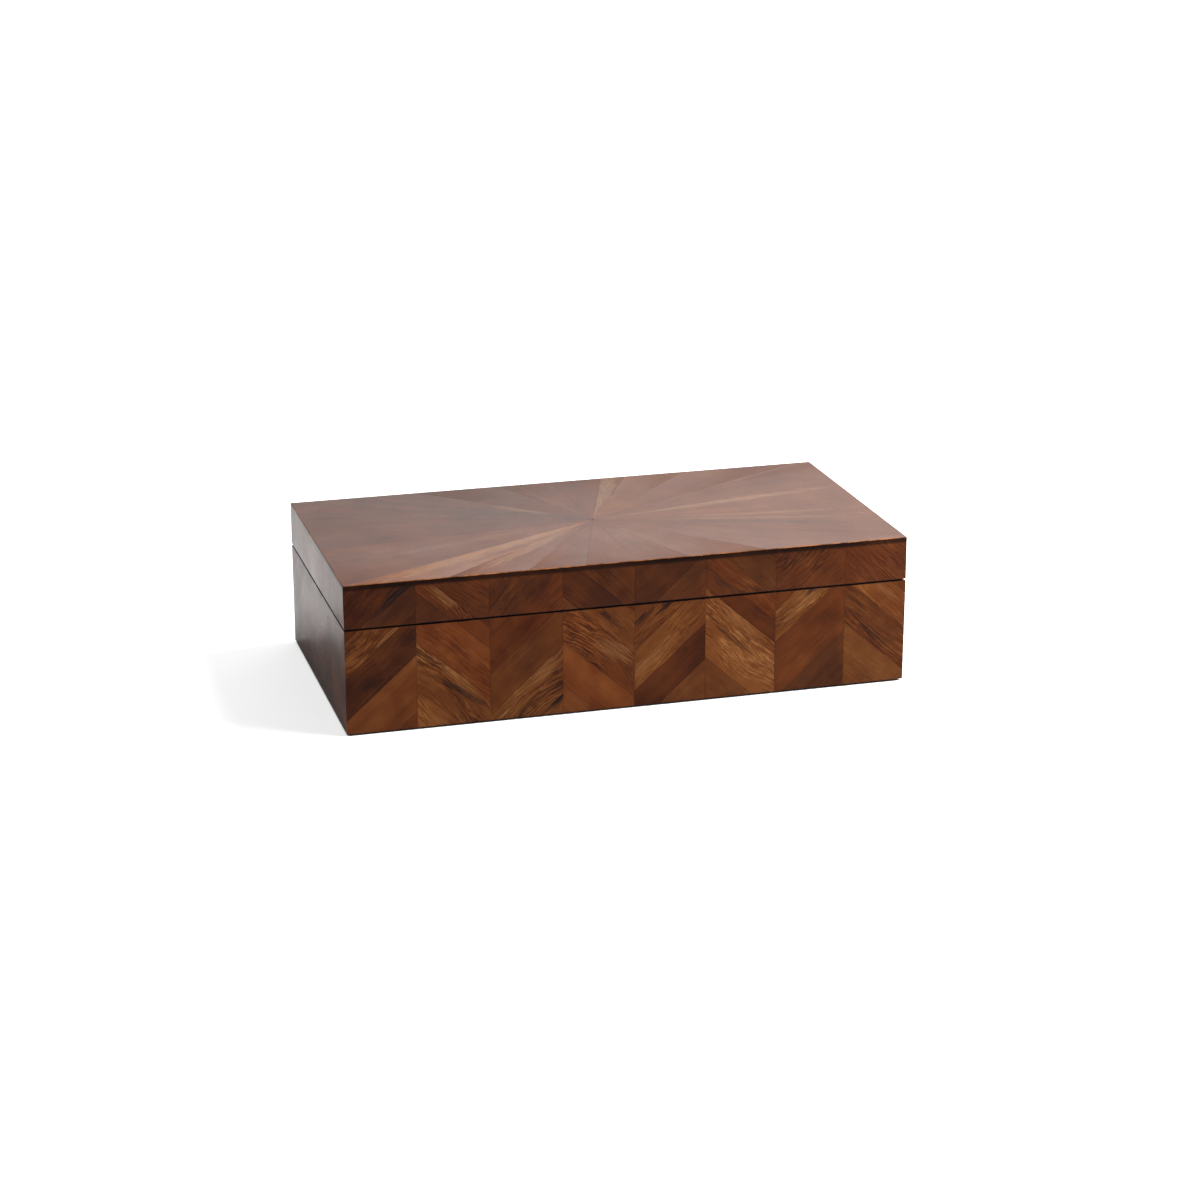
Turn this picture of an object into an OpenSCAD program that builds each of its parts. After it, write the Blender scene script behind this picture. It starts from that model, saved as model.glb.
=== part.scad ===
// Inlaid wooden box with a hinged lid. Millimetres, +Z up.
// The origin is on the table, under the middle of the case. -Y is the front.

/* [Case] */
// Width of the case, side to side, over the veneer
case_w = 300; // [240:1:380]
// Depth of the case, front to back, over the veneer
case_d = 150; // [110:1:220]
// Height of the closed box, from the table to the top of the lid
box_h = 80; // [62:1:120]
// Thickness of the boards that make the walls
wall_t = 8; // [6:0.5:12]
// Thickness of the floor board
floor_t = 5; // [3:0.5:9]

/* [Lid] */
// Height of the lid, from its rim to its top
lid_h = 23; // [19:0.5:35]
// Thickness of the panel in the top of the lid
panel_t = 6; // [4:0.5:8]
// Open seam between the rim of the case and the rim of the lid
seam_gap = 1; // [0.6:0.1:1.4]
// Angle at which the lid's back edge lands on the back edge of the case
stop_angle = 101; // [95:1:110]

/* [Inlay] */
// Thickness of the veneer on the walls
side_veneer_t = 1; // [0.6:0.1:2]
// Thickness of the veneer on top of the lid
top_veneer_t = 1.5; // [0.8:0.1:2.5]
// Width of the glue joint between two pieces of veneer
glue_line = 0.06; // [0.04:0.02:0.2]
// Number of columns of slanted strips on the front and on the back
wide_columns = 8; // [4:1:8]
// Number of columns of slanted strips on each side
side_columns = 4; // [2:1:6]
// How much narrower the first column on the front is than a whole one
first_trim = 1.7; // [0:0.1:4]
// How much narrower the last column on the front is than a whole one
last_trim = 4.2; // [0:0.1:6]
// Slope of the strips, in degrees
strip_slope = 41.5; // [30:0.5:50]
// Height of one strip on the back and on the sides
strip_rise = 21; // [14:1:30]

/* [Felt] */
// Thickness of the felt under the case
base_felt_t = 1; // [0.6:0.1:2]
// How far the felt under the case stays in from the walls
base_felt_inset = 2; // [1:0.5:5]
// Thickness of the felt that lines the inside
lining_t = 1; // [0.6:0.1:2]
// How far the felt on the rim stays in from the outer faces
rim_felt_inset = 1.5; // [1.2:0.1:3]

/* [Hinges] */
// Length of a hinge along its pin
hinge_l = 38; // [30:1:50]
// Distance from the middle of a hinge to the near side of the case
hinge_inset = 55; // [40:1:70]
// Width of wood left between a leaf's free edge and the inside of the wall
leaf_land = 1.2; // [0.8:0.1:1.5]
// Thickness of a leaf
leaf_t = 1.2; // [1:0.1:1.4]
// Gap between the two leaves of a closed hinge
leaf_gap = 0.5; // [0.4:0.1:0.6]
// Radius of the knuckles
knuckle_r = 2.5; // [2.2:0.1:2.7]
// Radius of the pin
pin_r = 1; // [0.8:0.1:1.2]
// Gap round the pin in the knuckles that turn on it
pin_play = 0.05; // [0.02:0.01:0.1]
// Gap between one knuckle and the next
knuckle_play = 0.2; // [0.1:0.05:0.4]
// Gap between the knuckles and the wood or the other leaf
barrel_play = 0.35; // [0.3:0.05:0.5]
// Gap round a leaf in its pocket
pocket_play = 0.15; // [0.1:0.05:0.4]
// Number of knuckles on a hinge
knuckles = 5; // [3:2:7]

/* [Screws] */
// Number of screws in a leaf
leaf_screws = 3; // [2:1:3]
// Distance from the end of a leaf to the middle of its first screw
screw_edge = 6; // [4:0.5:8]
// Radius of a screw's shank
screw_r = 0.9; // [0.7:0.1:1]
// Radius of a screw's head
screw_head_r = 1.7; // [1.5:0.1:1.8]
// Height of a screw's countersunk head
screw_head_h = 0.8; // [0.6:0.1:0.9]
// Length of a screw, head included
screw_l = 8; // [6:0.5:10]
// Gap round a screw where it goes through the leaf
screw_play = 0.05; // [0.03:0.01:0.1]
// Width of the slot in a screw's head
slot_w = 0.4; // [0.3:0.1:0.6]
// Depth of the slot in a screw's head
slot_d = 0.35; // [0.2:0.05:0.5]

/* [Hidden] */
$fn = 48;

// Directions of the joints of the sunburst, in degrees from +X towards the back
burst_joints = [12, 28, 45, 62, 71, 92, 114, 137, 154, 163,
                185, 207, 218, 234, 252, 272, 292, 314, 335, 348];
wedges = len(burst_joints);

// Heights of the glue joints on the front, at the middle of each column, left to right
front_joints = [
    [-6, 24, 47, 66],
    [4, 30, 57, 68],
    [-9, 21, 43, 64],
    [0, 23, 47, 69],
    [6, 26, 48, 64],
    [7, 31, 45, 57, 70],
    [14, 45, 63],
    [0, 21, 30, 45, 64]
];
// How far the joints of neighbouring columns are shifted on the back and on the sides
joint_shift = [4, 13, 9, 17];

// Colours
walnut = [0.36, 0.2, 0.11];
dark_walnut = [0.24, 0.13, 0.09];
burr_light = [0.58, 0.38, 0.22];
burr_mid = [0.45, 0.27, 0.15];
felt_black = [0.06, 0.05, 0.05];
hinge_brass = [0.72, 0.56, 0.28];

// Heights of the main planes
rim_z = box_h - lid_h - seam_gap;
lid_rim_z = box_h - lid_h;
skin_top_z = box_h - top_veneer_t;
panel_z = skin_top_z - panel_t;
floor_z = base_felt_t;
floor_top_z = floor_z + floor_t;
lining_top_z = floor_top_z + lining_t;

// The boards under the veneer, and the space between the boards
core_w = case_w - 2 * side_veneer_t;
core_d = case_d - 2 * side_veneer_t;
inner_w = core_w - 2 * wall_t;
inner_d = core_d - 2 * wall_t;

// The pin sits just inside the back face, so that the two back edges meet at stop_angle
pin_inset = (seam_gap / 2) / tan(stop_angle / 2);
pin_y = case_d / 2 - pin_inset;
pin_z = rim_z + seam_gap / 2;
hinge_x = case_w / 2 - hinge_inset;
knuckle_l = hinge_l / knuckles;

// A leaf runs from the pin's axis to just short of the inside of the wall
leaf_w = side_veneer_t + wall_t - pin_inset - leaf_land;
leaf_root = knuckle_r + barrel_play;
screw_y = pin_y - (leaf_root + leaf_w) / 2;
screw_pitch = (hinge_l - 2 * screw_edge) / (leaf_screws - 1);

// A cut that runs out past a face goes this far beyond it
past = 1;
// Longer than anything on the box, for the outer edges of the first and last pieces
far = 2 * (case_w + case_d + box_h);

// ---- Boards ----

// A block centred on the Z axis
module slab(w, d, z_low, z_high) {
    translate([-w / 2, -d / 2, z_low])
        cube([w, d, z_high - z_low]);
}

// A board along the front; the back one is the same board turned round
module long_board(z_low, z_high) {
    translate([-core_w / 2, -core_d / 2, z_low])
        cube([core_w, wall_t, z_high - z_low]);
}

// A board along the right side, between the two long ones
module short_board(z_low, z_high) {
    translate([inner_w / 2, -inner_d / 2, z_low])
        cube([wall_t, inner_d, z_high - z_low]);
}

module base_felt() {
    color(felt_black)
        slab(case_w - 2 * base_felt_inset, case_d - 2 * base_felt_inset, 0, base_felt_t);
}

module floor_board() {
    color(walnut)
        slab(inner_w, inner_d, floor_z, floor_top_z);
}

module front_board() {
    color(walnut)
        long_board(floor_z, rim_z);
}

module back_board() {
    color(walnut)
        difference() {
            rotate([0, 0, 180])
                long_board(floor_z, rim_z);
            at_hinges() {
                barrel_groove();
                case_side() {
                    leaf_pocket();
                    screw_holes();
                }
            }
        }
}

module left_board() {
    color(walnut)
        mirror([1, 0, 0])
            short_board(floor_z, rim_z);
}

module right_board() {
    color(walnut)
        short_board(floor_z, rim_z);
}

module lid_front_rail() {
    color(walnut)
        long_board(lid_rim_z, panel_z);
}

module lid_back_rail() {
    color(walnut)
        difference() {
            rotate([0, 0, 180])
                long_board(lid_rim_z, panel_z);
            at_hinges() {
                barrel_groove();
                leaf_pocket();
                screw_holes();
            }
        }
}

module lid_left_rail() {
    color(walnut)
        mirror([1, 0, 0])
            short_board(lid_rim_z, panel_z);
}

module lid_right_rail() {
    color(walnut)
        short_board(lid_rim_z, panel_z);
}

module lid_panel() {
    color(walnut)
        slab(core_w, core_d, panel_z, skin_top_z);
}

// ---- Felt inside ----

module floor_lining() {
    color(felt_black)
        slab(inner_w, inner_d, floor_top_z, lining_top_z);
}

// Four sheets, each standing on the felt of the floor
module wall_lining() {
    long_l = inner_w;
    short_l = inner_d - 2 * lining_t - 2 * glue_line;
    sheet_h = rim_z - lining_top_z;
    color(felt_black)
        for (side = [-1, 1]) {
            translate([-long_l / 2, side * (inner_d - lining_t) / 2 - lining_t / 2, lining_top_z])
                cube([long_l, lining_t, sheet_h]);
            translate([side * (inner_w - lining_t) / 2 - lining_t / 2, -short_l / 2, lining_top_z])
                cube([lining_t, short_l, sheet_h]);
        }
}

// The felt that the closed lid rests on
module rim_lining() {
    color(felt_black)
        difference() {
            slab(case_w - 2 * rim_felt_inset, case_d - 2 * rim_felt_inset, rim_z, lid_rim_z);
            slab(inner_w - 2 * lining_t, inner_d - 2 * lining_t, rim_z - past, lid_rim_z + past);
            at_hinges()
                leaf_outline(rim_z - past, lid_rim_z + past);
        }
}

module lid_lining() {
    color(felt_black)
        slab(inner_w, inner_d, panel_z - lining_t, panel_z);
}

// ---- Inlay on the walls ----

// A slanted strip between two joint heights, in a column that is half_w wide on each side
module strip_outline(low, high, rise, half_w) {
    polygon([[-half_w, low - rise], [half_w, low + rise],
             [half_w, high + rise], [-half_w, high - rise]]);
}

// One column of slanted strips, on the wall that faces -Y at the distance wall_y
module strip_column(x_low, x_high, slope, joints, z_low, z_high, wall_y) {
    half_w = (x_high - x_low) / 2;
    rise = half_w * tan(slope);
    glue_rise = glue_line / 2 / cos(slope);
    edges = concat([-far], joints, [far]);
    for (k = [0 : len(edges) - 2]) {
        low = edges[k] + glue_rise;
        high = edges[k + 1] - glue_rise;
        if (high + abs(rise) > z_low && low - abs(rise) < z_high)
            intersection() {
                translate([x_low + glue_line / 2, -wall_y, z_low])
                    cube([x_high - x_low - glue_line, side_veneer_t, z_high - z_low]);
                translate([x_low + half_w, 0, 0])
                    rotate([90, 0, 0])
                        linear_extrude(wall_y + past)
                            strip_outline(low, high, rise, half_w);
            }
    }
}

// Odd columns rise to the right and even ones fall, which makes the zigzag
function column_slope(i) = i % 2 == 1 ? strip_slope : -strip_slope;

// Edges of the columns on the front, from 0 at the left wall to wide_columns at the right one
front_pitch = (case_w + first_trim + last_trim) / wide_columns;
function front_edge(i) =
    i == 0 ? -case_w / 2
    : i == wide_columns ? case_w / 2
    : i * front_pitch - first_trim - case_w / 2;

module front_column(i, z_low, z_high) {
    strip_column(front_edge(i - 1), front_edge(i), column_slope(i),
                 front_joints[(i - 1) % len(front_joints)], z_low, z_high, case_d / 2);
}

// Columns with evenly spaced joints, for the walls that follow the front's pattern
function even_joints(i) =
    [for (h = [joint_shift[i % len(joint_shift)] : strip_rise : box_h]) h];

module even_columns(count, span, z_low, z_high, wall_y) {
    pitch = span / count;
    for (i = [1 : count])
        strip_column((i - 1) * pitch - span / 2, i * pitch - span / 2, column_slope(i),
                     even_joints(i), z_low, z_high, wall_y);
}

module front_inlay(i) {
    color(i % 2 == 1 ? burr_mid : burr_light)
        front_column(i, floor_z, rim_z);
}

module back_inlay() {
    color(burr_mid)
        difference() {
            rotate([0, 0, 180])
                even_columns(wide_columns, case_w, floor_z, rim_z, case_d / 2);
            at_hinges()
                barrel_groove();
        }
}

module left_inlay() {
    color(burr_light)
        rotate([0, 0, -90])
            even_columns(side_columns, core_d, floor_z, rim_z, case_w / 2);
}

module right_inlay() {
    color(burr_light)
        rotate([0, 0, 90])
            even_columns(side_columns, core_d, floor_z, rim_z, case_w / 2);
}

module lid_front_inlay() {
    color(burr_mid)
        for (i = [1 : wide_columns])
            front_column(i, lid_rim_z, skin_top_z);
}

module lid_back_inlay() {
    color(burr_mid)
        difference() {
            rotate([0, 0, 180])
                even_columns(wide_columns, case_w, lid_rim_z, skin_top_z, case_d / 2);
            at_hinges()
                barrel_groove();
        }
}

module lid_left_inlay() {
    color(burr_light)
        rotate([0, 0, -90])
            even_columns(side_columns, core_d, lid_rim_z, skin_top_z, case_w / 2);
}

module lid_right_inlay() {
    color(burr_light)
        rotate([0, 0, 90])
            even_columns(side_columns, core_d, lid_rim_z, skin_top_z, case_w / 2);
}

// ---- Sunburst on the lid ----

// One wedge, from its joint to the next one, with its tip set back by the glue line
module sunburst_wedge(i) {
    from = burst_joints[i - 1];
    next = burst_joints[i % wedges];
    to = next > from ? next : next + 360;
    middle = (from + to) / 2;
    tip = glue_line / 2 / sin((to - from) / 2);
    color(i % 3 == 0 ? burr_light : i % 3 == 1 ? burr_mid : dark_walnut)
        intersection() {
            slab(case_w, case_d, skin_top_z, box_h);
            translate([tip * cos(middle), tip * sin(middle), skin_top_z - past])
                linear_extrude(top_veneer_t + 2 * past)
                    polygon([[0, 0], far * [cos(from), sin(from)], far * [cos(to), sin(to)]]);
        }
}

// ---- Hinges ----

// Both hinges, each drawn round the point where its middle meets the pin's axis
module at_hinges() {
    for (side = [-1, 1])
        at_hinge(side)
            children();
}

module at_hinge(side) {
    translate([side * hinge_x, pin_y, pin_z])
        children();
}

// The case's half of a hinge is the lid's half turned over
module case_side() {
    mirror([0, 0, 1])
        children();
}

// A cylinder along X, between two places on the pin's axis
module along_pin(x_low, x_high, r) {
    translate([x_low, 0, 0])
        rotate([0, 90, 0])
            cylinder(h = x_high - x_low, r = r);
}

// Room for the knuckles in both back rims
module barrel_groove() {
    half = hinge_l / 2 + pocket_play;
    along_pin(-half, half, leaf_root);
}

// The place that a leaf takes up, seen from above, between two heights above the table
module leaf_outline(z_low, z_high) {
    half = hinge_l / 2 + pocket_play;
    translate([-half, -leaf_w - pocket_play, z_low - pin_z])
        cube([2 * half, leaf_w + pocket_play + pin_inset + past, z_high - z_low]);
}

// The pocket for the lid's leaf; it runs out through the lid's rim and stops in the groove
module leaf_pocket() {
    half = hinge_l / 2 + pocket_play;
    translate([-half, -leaf_w - pocket_play, -past])
        cube([2 * half, leaf_w + pocket_play, leaf_gap / 2 + leaf_t + past]);
}

// Places of the screws along one leaf
function screw_x(k) = screw_edge - hinge_l / 2 + k * screw_pitch;

module at_screws() {
    for (k = [0 : leaf_screws - 1])
        translate([screw_x(k), screw_y - pin_y, leaf_gap / 2])
            children();
}

module screw_holes() {
    at_screws()
        cylinder(h = screw_l, r = screw_r);
}

// The countersunk holes in a leaf
module screw_seats() {
    head_r = screw_head_r + screw_play;
    shank_r = screw_r + screw_play;
    at_screws() {
        cylinder(h = screw_head_h, r1 = head_r, r2 = shank_r);
        translate([0, 0, -past])
            cylinder(h = leaf_t + 2 * past, r = shank_r);
        translate([0, 0, -past])
            cylinder(h = past, r = head_r);
    }
}

// A leaf on the upper side of the pin; first is 0 where it has the end knuckles, otherwise 1
module leaf(first, bore_r) {
    difference() {
        union() {
            translate([-hinge_l / 2, -leaf_w, leaf_gap / 2])
                cube([hinge_l, leaf_w - leaf_root, leaf_t]);
            for (k = [first : 2 : knuckles - 1]) {
                x_low = k * knuckle_l - hinge_l / 2 + (k == 0 ? 0 : knuckle_play / 2);
                x_high = (k + 1) * knuckle_l - hinge_l / 2
                         - (k == knuckles - 1 ? 0 : knuckle_play / 2);
                along_pin(x_low, x_high, knuckle_r);
                translate([x_low, -leaf_w, leaf_gap / 2])
                    cube([x_high - x_low, leaf_w, leaf_t]);
            }
        }
        along_pin(-hinge_l, hinge_l, bore_r);
        screw_seats();
    }
}

module hinge_pin() {
    along_pin(-hinge_l / 2, hinge_l / 2, pin_r);
}

module hinge_screw() {
    difference() {
        union() {
            cylinder(h = screw_head_h, r1 = screw_head_r, r2 = screw_r);
            cylinder(h = screw_l, r = screw_r);
        }
        translate([-screw_head_r - past, -slot_w / 2, -past])
            cube([2 * (screw_head_r + past), slot_w, slot_d + past]);
    }
}

module case_leaf(side) {
    color(hinge_brass)
        at_hinge(side)
            case_side()
                leaf(0, pin_r);
}

module lid_leaf(side) {
    color(hinge_brass)
        at_hinge(side)
            leaf(1, pin_r + pin_play);
}

module pin(side) {
    color(hinge_brass)
        at_hinge(side)
            hinge_pin();
}

module case_hinge_screws() {
    color(hinge_brass)
        at_hinges()
            case_side()
                at_screws()
                    hinge_screw();
}

module lid_hinge_screws() {
    color(hinge_brass)
        at_hinges()
            at_screws()
                hinge_screw();
}

base_felt();
floor_board();
front_board();
back_board();
left_board();
right_board();
floor_lining();
wall_lining();
rim_lining();
for (i = [1 : wide_columns])
    front_inlay(i);
back_inlay();
left_inlay();
right_inlay();
lid_front_rail();
lid_back_rail();
lid_left_rail();
lid_right_rail();
lid_panel();
lid_lining();
lid_front_inlay();
lid_back_inlay();
lid_left_inlay();
lid_right_inlay();
for (i = [1 : wedges])
    sunburst_wedge(i);
case_leaf(-1);  // left_hinge_case_leaf
case_leaf(1);  // right_hinge_case_leaf
pin(-1);  // left_hinge_pin
pin(1);  // right_hinge_pin
lid_leaf(-1);  // left_hinge_lid_leaf
lid_leaf(1);  // right_hinge_lid_leaf
case_hinge_screws();
lid_hinge_screws();
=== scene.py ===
import math
import random

import bpy
from mathutils import Matrix, Vector


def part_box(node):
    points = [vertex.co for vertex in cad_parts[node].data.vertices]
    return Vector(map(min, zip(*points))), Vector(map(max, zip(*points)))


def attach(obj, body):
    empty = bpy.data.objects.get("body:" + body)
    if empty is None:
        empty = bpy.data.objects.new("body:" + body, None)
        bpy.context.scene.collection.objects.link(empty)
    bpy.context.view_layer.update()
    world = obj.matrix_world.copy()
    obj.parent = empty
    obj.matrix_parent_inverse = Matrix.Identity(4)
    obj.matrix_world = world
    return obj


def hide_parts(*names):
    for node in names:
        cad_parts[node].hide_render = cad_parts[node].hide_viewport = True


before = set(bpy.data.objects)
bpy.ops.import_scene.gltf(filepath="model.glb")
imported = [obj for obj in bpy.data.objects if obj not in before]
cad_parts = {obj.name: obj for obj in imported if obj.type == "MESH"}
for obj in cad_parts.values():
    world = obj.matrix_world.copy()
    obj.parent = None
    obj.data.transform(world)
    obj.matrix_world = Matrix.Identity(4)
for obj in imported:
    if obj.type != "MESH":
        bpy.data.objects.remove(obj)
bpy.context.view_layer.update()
mm = 0.001
nearly = 0.01 * mm  # closer than this counts as the same place


# camera, floor and light

cameraSetup = {"lens": 83.7, "sensorWidth": 36.0, "azimuth": -15.9, "elevation": 18.7,
               "distance": 1.489, "lookAt": (-0.0003, -0.0153, 0.0396)}
studio = {"floorSize": 14.0, "floorColor": 0.75, "floorRoughness": 0.9, "shadowLift": 0.67,
          "contactReach": 0.005, "contactShade": (0.28, 0.52),
          # behind the box: the height of the direction, and how bright it is there
          "skyBehind": ((0.0, 0.5), (0.24, 0.75), (0.31, 1.05), (0.4, 2.1), (0.55, 2.0), (0.9, 0.4)),
          # from left to right: where the change starts and ends, and the share at both ends
          "skyAcross": (-0.15, 0.6, 0.62, 1.27),
          "skyFront": 0.16, "skyTurn": (0.0, 0.7),
          "keyPlace": (2.35, -0.56, 2.1), "keySize": 2.3, "keyPower": 254.0}


def addCamera(setup):
    azimuth = math.radians(setup["azimuth"])
    elevation = math.radians(setup["elevation"])
    towards = Vector((math.sin(azimuth) * math.cos(elevation),
                      -math.cos(azimuth) * math.cos(elevation),
                      math.sin(elevation)))
    place = Vector(setup["lookAt"]) + towards * setup["distance"]
    bpy.ops.object.camera_add(location=place, rotation=towards.to_track_quat("Z", "Y").to_euler())
    camera = bpy.context.object
    camera.data.lens = setup["lens"]
    camera.data.sensor_width = setup["sensorWidth"]
    bpy.context.scene.camera = camera


def grey(level):
    return (level, level, level, 1.0)


def addNode(tree, kind, inputs=None, **settings):
    node = tree.nodes.new(kind)
    for name, value in settings.items():
        setattr(node, name, value)
    for name, value in (inputs or {}).items():
        if isinstance(value, bpy.types.NodeSocket):
            tree.links.new(value, node.inputs[name])
        else:
            node.inputs[name].default_value = value
    return node


def calc(tree, operation, first, second=0.0, third=0.0, clamp=False):
    node = addNode(tree, "ShaderNodeMath", {0: first, 1: second, 2: third},
                   operation=operation, use_clamp=clamp)
    return node.outputs[0]


def remap(tree, value, low, high, outLow=0.0, outHigh=1.0):
    node = addNode(tree, "ShaderNodeMapRange",
                   {"Value": value, "From Min": low, "From Max": high,
                    "To Min": outLow, "To Max": outHigh},
                   interpolation_type="SMOOTHSTEP")
    return node.outputs["Result"]


def mixColor(tree, factor, first, second, blend="MIX"):
    node = addNode(tree, "ShaderNodeMix", {0: factor, 6: first, 7: second},
                   data_type="RGBA", blend_type=blend)
    return node.outputs[2]


def ramp(tree, value, stops):
    node = addNode(tree, "ShaderNodeValToRGB", {"Fac": value})
    elements = node.color_ramp.elements
    while len(elements) < len(stops):
        elements.new(0.5)
    for element, (place, color) in zip(elements, stops):
        element.position = place
        element.color = (*color, 1.0)
    return node.outputs["Color"]


def startMaterial(name):
    material = bpy.data.materials.new(name)
    material.use_nodes = True
    tree = material.node_tree
    return material, tree, tree.nodes["Principled BSDF"]


def addFloor(setup):
    bpy.ops.mesh.primitive_plane_add(size=setup["floorSize"])
    floor = bpy.context.object
    floor.name = "floor"
    paper, tree, shader = startMaterial("paper")
    shader.inputs["Base Color"].default_value = grey(setup["floorColor"])
    shader.inputs["Roughness"].default_value = setup["floorRoughness"]
    shader.inputs["Specular IOR Level"].default_value = 0.0
    # painted light: the paper glows for the camera, so it looks lighter than in reflections, but not
    # right under the box
    seen = addNode(tree, "ShaderNodeLightPath").outputs["Is Camera Ray"]
    clear = addNode(tree, "ShaderNodeAmbientOcclusion", {"Distance": setup["contactReach"]})
    lift = calc(tree, "MULTIPLY", remap(tree, clear.outputs["AO"], *setup["contactShade"]), seen)
    tree.links.new(lift, shader.inputs["Emission Color"])
    shader.inputs["Emission Strength"].default_value = setup["shadowLift"]
    floor.data.materials.append(paper)


def addSky(setup):
    world = bpy.data.worlds.new("studio")
    bpy.context.scene.world = world
    world.use_nodes = True
    tree = world.node_tree
    direction = addNode(tree, "ShaderNodeTexCoord").outputs["Generated"]
    across, back, height = addNode(tree, "ShaderNodeSeparateXYZ", {0: direction}).outputs
    brightest = max(level for _, level in setup["skyBehind"])
    stops = [(place, (level / brightest,) * 3) for place, level in setup["skyBehind"]]
    share = remap(tree, across, *setup["skyAcross"])
    behind = mixColor(tree, 1.0, ramp(tree, height, stops), share, "MULTIPLY")
    turn = remap(tree, back, *setup["skyTurn"])
    color = mixColor(tree, turn, grey(setup["skyFront"] / brightest), behind)
    # past the paper's edge the camera sees white
    seen = addNode(tree, "ShaderNodeLightPath").outputs["Is Camera Ray"]
    color = mixColor(tree, seen, color, grey(1 / brightest))
    tree.links.new(color, tree.nodes["Background"].inputs["Color"])
    tree.nodes["Background"].inputs["Strength"].default_value = brightest


def addKeyLight(setup):
    place = Vector(setup["keyPlace"])
    bpy.ops.object.light_add(type="AREA", location=place,
                             rotation=place.to_track_quat("Z", "Y").to_euler())
    key = bpy.context.object
    key.name = "keyLight"
    key.data.shape = "DISK"
    key.data.size = setup["keySize"]
    key.data.energy = setup["keyPower"]


bpy.context.scene.view_settings.view_transform = "Standard"
addCamera(cameraSetup)
addFloor(studio)
addSky(studio)
addKeyLight(studio)
print("studio ready")


# modelling helpers

def deselectAll():
    if bpy.context.object and bpy.context.object.mode != "OBJECT":
        bpy.ops.object.mode_set(mode="OBJECT")
    bpy.ops.object.select_all(action="DESELECT")


def makeActive(thing):
    deselectAll()
    thing.select_set(True)
    bpy.context.view_layer.objects.active = thing


def addBlock(name, low, high):
    low, high = Vector(low), Vector(high)
    deselectAll()
    bpy.ops.mesh.primitive_cube_add(size=1.0, location=(low + high) / 2)
    block = bpy.context.object
    block.name = name
    block.scale = high - low
    makeActive(block)
    bpy.ops.object.transform_apply(location=True, rotation=True, scale=True)
    return block


def selectEdges(thing, test):
    for polygon in thing.data.polygons:
        polygon.select = False
    for vertex in thing.data.vertices:
        vertex.select = False
    for edge in thing.data.edges:
        first, second = (thing.data.vertices[i].co for i in edge.vertices)
        edge.select = test((first + second) / 2, (second - first).normalized())


def bevelEdges(thing, test, width, segments):
    makeActive(thing)
    bpy.ops.object.mode_set(mode="EDIT")
    bpy.ops.mesh.select_mode(type="EDGE")
    bpy.ops.object.mode_set(mode="OBJECT")
    selectEdges(thing, test)
    bpy.ops.object.mode_set(mode="EDIT")
    bpy.ops.mesh.bevel(offset=width, segments=segments, profile=0.5, affect="EDGES")
    bpy.ops.object.mode_set(mode="OBJECT")


def cutAway(thing, point, normal):  # what lies on the normal's side goes, and the cut is closed
    makeActive(thing)
    bpy.ops.object.mode_set(mode="EDIT")
    bpy.ops.mesh.select_all(action="SELECT")
    bpy.ops.mesh.bisect(plane_co=point, plane_no=normal, use_fill=True, clear_outer=True)
    bpy.ops.object.mode_set(mode="OBJECT")
    return len(thing.data.polygons) > 0


def copyOf(thing, name):
    copied = thing.copy()
    copied.data = thing.data.copy()
    copied.name = name
    bpy.context.scene.collection.objects.link(copied)
    return copied


def removeThing(thing):
    bpy.data.objects.remove(thing, do_unlink=True)


def joinThings(things, name):
    deselectAll()
    for thing in things:
        thing.select_set(True)
    bpy.context.view_layer.objects.active = things[0]
    if len(things) > 1:
        bpy.ops.object.join()
    joined = bpy.context.object
    joined.name = name
    joined.data.name = name
    return joined


# the CAD shape with its edges eased: steps of an eased edge, what counts as a sharp edge and
# as a flat one (degrees), and how close two points are welded
easing = {"steps": 2, "sharpFrom": 30, "flatBelow": 0.5, "weld": 0.001 * mm}


def softenedCopy(node, name, width):
    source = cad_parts[node]
    copied = copyOf(source, name)
    copied.parent = None
    copied.data.transform(source.matrix_world)
    copied.matrix_world = Matrix.Identity(4)
    makeActive(copied)
    bpy.ops.object.mode_set(mode="EDIT")
    bpy.ops.mesh.select_all(action="SELECT")
    bpy.ops.mesh.remove_doubles(threshold=easing["weld"])
    bpy.ops.mesh.dissolve_limited(angle_limit=math.radians(easing["flatBelow"]))
    bpy.ops.mesh.select_all(action="DESELECT")
    bpy.ops.mesh.select_mode(type="EDGE")
    bpy.ops.mesh.edges_select_sharp(sharpness=math.radians(easing["sharpFrom"]))
    bpy.ops.mesh.bevel(offset=width, segments=easing["steps"], profile=0.5, affect="EDGES",
                       clamp_overlap=True)
    bpy.ops.object.mode_set(mode="OBJECT")
    return copied


smoothAngle = math.radians(35)


def finishPiece(piece, material, body, slotName, *nodes):
    piece.data.materials.clear()
    piece.data.materials.append(material)
    makeActive(piece)
    bpy.ops.object.shade_smooth_by_angle(angle=smoothAngle)
    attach(piece, body)
    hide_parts(*nodes)


# what the materials read from a piece

def setFaceValues(thing, values):  # one number for the whole piece, kept on its faces
    for name, value in values.items():
        layer = thing.data.attributes.new(name, "FLOAT", "FACE")
        layer.data.foreach_set("value", [value] * len(thing.data.polygons))


def setWood(thing, look, seed):
    tone, figure, streaks = look
    setFaceValues(thing, {"tone": tone, "figure": figure, "streaks": streaks, "seed": seed})


def setDistances(thing, measures):  # how far each point lies from the piece's own edges
    for name, measure in measures.items():
        layer = thing.data.attributes.new(name, "FLOAT", "POINT")
        layer.data.foreach_set("value", [measure(v.co) for v in thing.data.vertices])


def setMark(thing, name, center, along, across, strength):  # an oval: along and across end at 1
    layer = thing.data.attributes.new(name, "FLOAT_VECTOR", "POINT")
    for vertex, item in zip(thing.data.vertices, layer.data):
        offset = vertex.co - center
        item.vector = (offset.dot(along), offset.dot(across), strength)


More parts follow.
